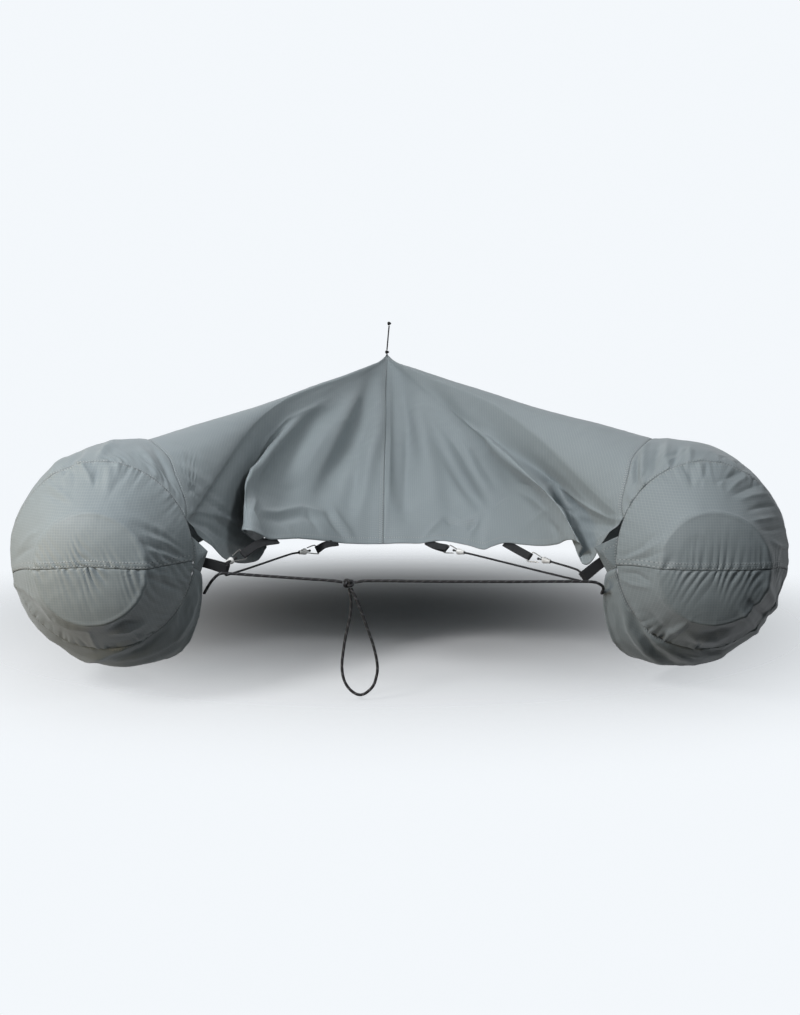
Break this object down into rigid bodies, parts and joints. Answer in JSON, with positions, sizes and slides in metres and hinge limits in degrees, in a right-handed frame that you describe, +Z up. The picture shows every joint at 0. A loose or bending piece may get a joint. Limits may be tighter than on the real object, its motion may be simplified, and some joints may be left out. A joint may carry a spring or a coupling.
{
  "type": "boat cover",
  "caption": "Grey-blue coated cloth cover for a small inflatable tender, drawn up to a peak by a cord, with boots over the tube ends and hooks on shock cord along its stern.",
  "frame": {"origin": "underside of the cloth at the peak, where the lifting cord holds the cover up", "axes": "+Z up, +Y forward to the bow, +X to starboard; the open stern with its boots faces -Y"},
  "size_m": [1.6478, 3.1239, 0.8532],
  "materials": {
    "coated_cloth": "grey-blue coated polyester with a fine ripstop grid, satin",
    "webbing_black": "black woven polyester webbing",
    "hook_plastic": "white moulded plastic cone",
    "hook_steel": "bent stainless wire",
    "cord_black": "black braided cord with a pale fleck"
  },
  "bodies": {
    "root": {"canopy_port": "coated_cloth", "canopy_starboard": "coated_cloth", "side_panel_port": "coated_cloth", "side_panel_starboard": "coated_cloth", "cap_upper_port": "coated_cloth", "cap_lower_port": "coated_cloth", "cap_upper_starboard": "coated_cloth", "cap_lower_starboard": "coated_cloth", "tab_port_outer": "webbing_black", "tab_port_inner": "webbing_black", "tab_starboard_inner": "webbing_black", "tab_starboard_outer": "webbing_black", "tab_port_side": "webbing_black", "tab_starboard_side": "webbing_black", "hook_port_outer_cone": "hook_plastic", "hook_port_outer_wire": "hook_steel", "hook_port_outer_cord_end": "cord_black", "hook_port_inner_cone": "hook_plastic", "hook_port_inner_wire": "hook_steel", "hook_port_inner_cord_end": "cord_black", "hook_starboard_inner_cone": "hook_plastic", "hook_starboard_inner_wire": "hook_steel", "hook_starboard_inner_cord_end": "cord_black", "hook_starboard_outer_cone": "hook_plastic", "hook_starboard_outer_wire": "hook_steel", "hook_starboard_outer_cord_end": "cord_black", "shock_cord_port": "cord_black", "shock_cord_starboard": "cord_black", "cross_cord_port": "cord_black", "cross_cord_starboard": "cord_black", "pull_loop": "cord_black", "cross_knot": "cord_black", "lift_knot": "cord_black", "lift_cord": "cord_black", "lift_end_knot": "cord_black"}
  },
  "joints": []
}
